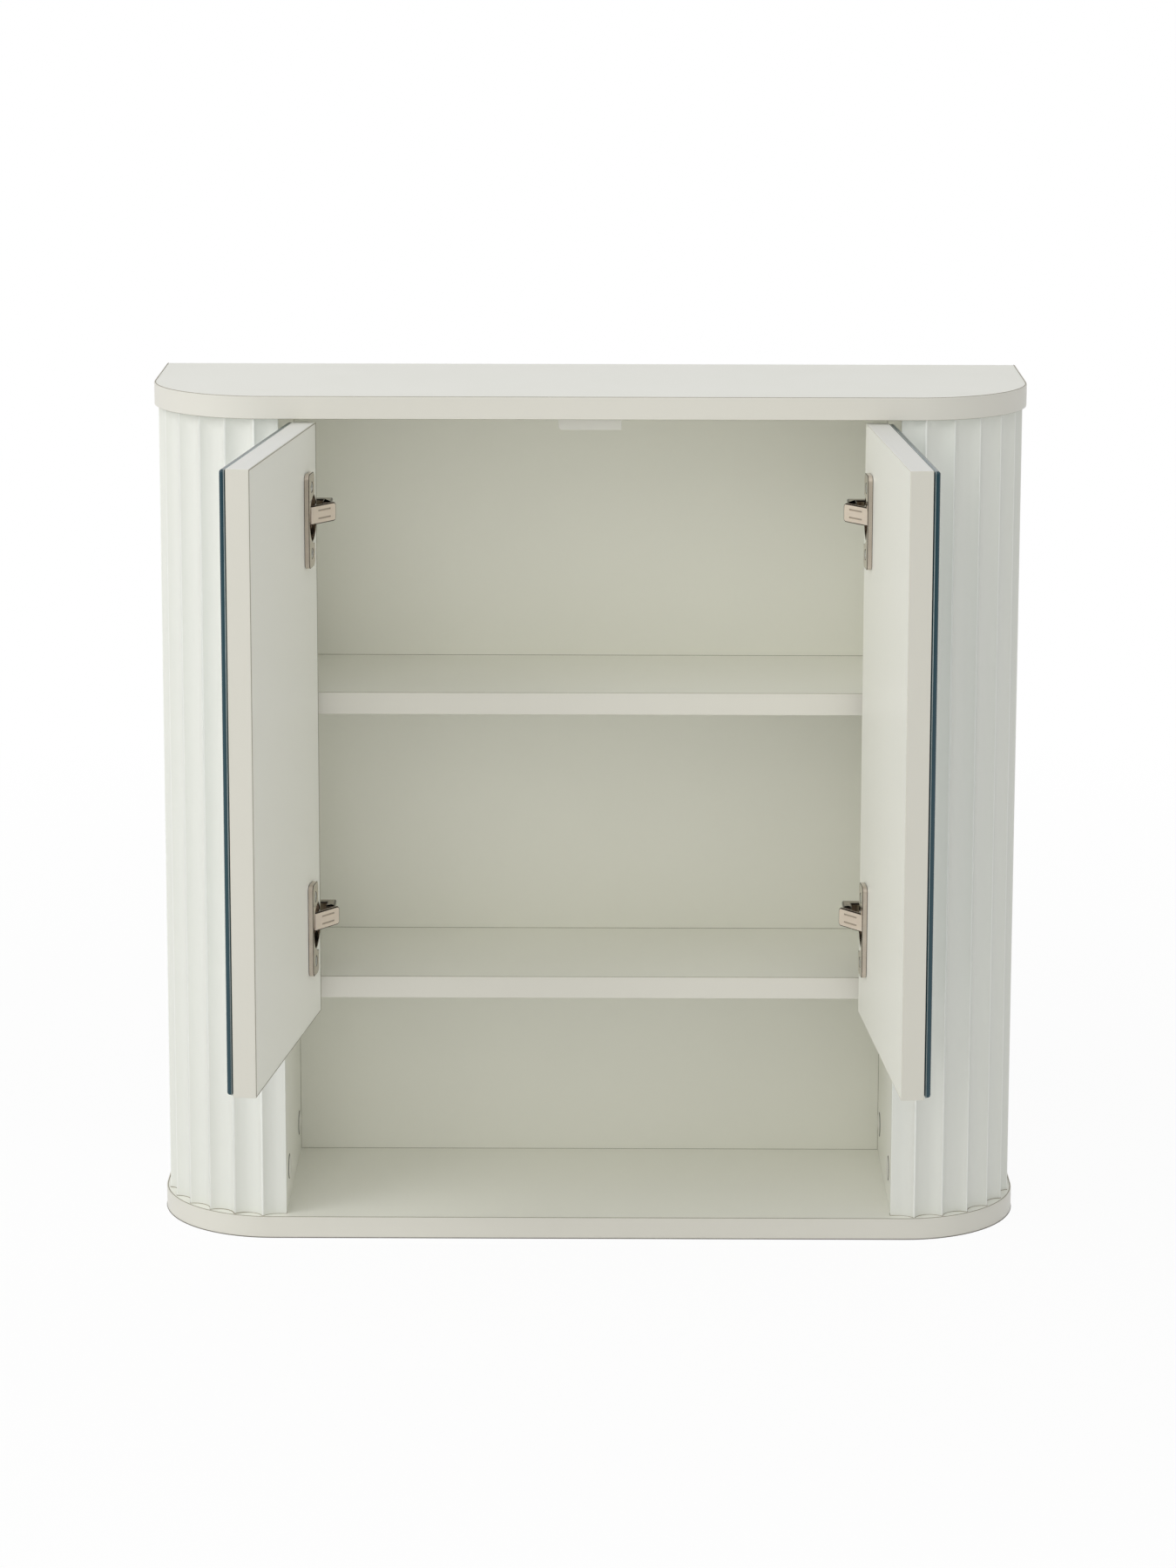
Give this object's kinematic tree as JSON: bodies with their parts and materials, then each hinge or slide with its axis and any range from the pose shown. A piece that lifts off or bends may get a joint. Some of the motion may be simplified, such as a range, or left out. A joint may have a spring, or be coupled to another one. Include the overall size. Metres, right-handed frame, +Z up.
{
  "type": "mirror cabinet",
  "caption": "Wall mirror cabinet with rounded fluted columns, fixed shelves, an open lower bay and inset mirror doors on concealed cup hinges, standing open.",
  "frame": {"origin": "centre of the bottom panel's underside", "axes": "+X to the right as seen from the front, the front faces -Y, the wall is at +Y, +Z is up"},
  "size_m": [0.6, 0.3659, 0.59],
  "materials": {
    "lacquered_board": "satin off-white lacquer on fibreboard",
    "fluted_skin": "satin off-white lacquer on fluted fibreboard",
    "edge_band": "satin off-white edge band",
    "back_board": "matt off-white board",
    "nickel_hinge": "nickel plated steel",
    "zinc_fittings": "zinc plated steel",
    "white_plastic": "moulded white plastic",
    "beech_dowel": "raw beech",
    "mirror_glass": "silvered float glass",
    "mirror_tape": "foam adhesive tape"
  },
  "bodies": {
    "cabinet": {"top_panel": "lacquered_board", "bottom_panel": "lacquered_board", "left_side_panel": "lacquered_board", "right_side_panel": "lacquered_board", "upper_shelf": "lacquered_board", "lower_shelf": "lacquered_board", "back_panel": "back_board", "top_edge_band": "edge_band", "bottom_edge_band": "edge_band", "upper_shelf_edge_band": "edge_band", "lower_shelf_edge_band": "edge_band", "left_fluted_column": "fluted_skin", "right_fluted_column": "fluted_skin", "left_column_ribs": "back_board", "right_column_ribs": "back_board", "door_stop_block": "white_plastic", "cam_cover_caps": "white_plastic", "door_stop_screws": "zinc_fittings", "cam_discs": "zinc_fittings", "cam_bolts": "zinc_fittings", "wall_hanger_plates": "zinc_fittings", "wall_hanger_screws": "zinc_fittings", "hinge_plate_screws": "zinc_fittings", "hinge_adjusting_screws": "zinc_fittings", "shelf_dowels": "beech_dowel", "top_panel_dowels": "beech_dowel", "left_hinge_arms": "nickel_hinge", "left_hinge_mounting_plates": "nickel_hinge", "left_hinge_arm_pins": "zinc_fittings", "right_hinge_arms": "nickel_hinge", "right_hinge_mounting_plates": "nickel_hinge", "right_hinge_arm_pins": "zinc_fittings"},
    "left_links": {"left_hinge_links": "nickel_hinge"},
    "left_door": {"left_door_panel": "lacquered_board", "left_door_edge_band": "edge_band", "left_mirror": "mirror_glass", "left_mirror_tape": "mirror_tape", "left_hinge_cups": "nickel_hinge", "left_hinge_cup_pins": "zinc_fittings", "left_hinge_cup_screws": "zinc_fittings"},
    "right_links": {"right_hinge_links": "nickel_hinge"},
    "right_door": {"right_door_panel": "lacquered_board", "right_door_edge_band": "edge_band", "right_mirror": "mirror_glass", "right_mirror_tape": "mirror_tape", "right_hinge_cups": "nickel_hinge", "right_hinge_cup_pins": "zinc_fittings", "right_hinge_cup_screws": "zinc_fittings"}
  },
  "joints": [
    {"name": "left_link_turn", "type": "hinge", "parent": "cabinet", "child": "left_links", "pos_m": [-0.178, -0.069, 0], "axis": [0, 0, 1], "range_deg": [-52.93, 3.79]},
    {"name": "left_door_swing", "type": "hinge", "parent": "left_links", "child": "left_door", "pos_m": [-0.19038, -0.08521, 0], "axis": [0, 0, 1], "range_deg": [-10.78, 150.92]},
    {"name": "right_link_turn", "type": "hinge", "parent": "cabinet", "child": "right_links", "pos_m": [0.178, -0.069, 0], "axis": [0, 0, -1], "range_deg": [-51.04, 5.68]},
    {"name": "right_door_swing", "type": "hinge", "parent": "right_links", "child": "right_door", "pos_m": [0.19091, -0.0848, 0], "axis": [0, 0, -1], "range_deg": [-16.17, 145.53]}
  ],
  "couplings": [
    {"joint": "left_link_turn", "follows": "left_door_swing", "ratio": -0.35065},
    {"joint": "right_link_turn", "follows": "right_door_swing", "ratio": -0.35065}
  ]
}
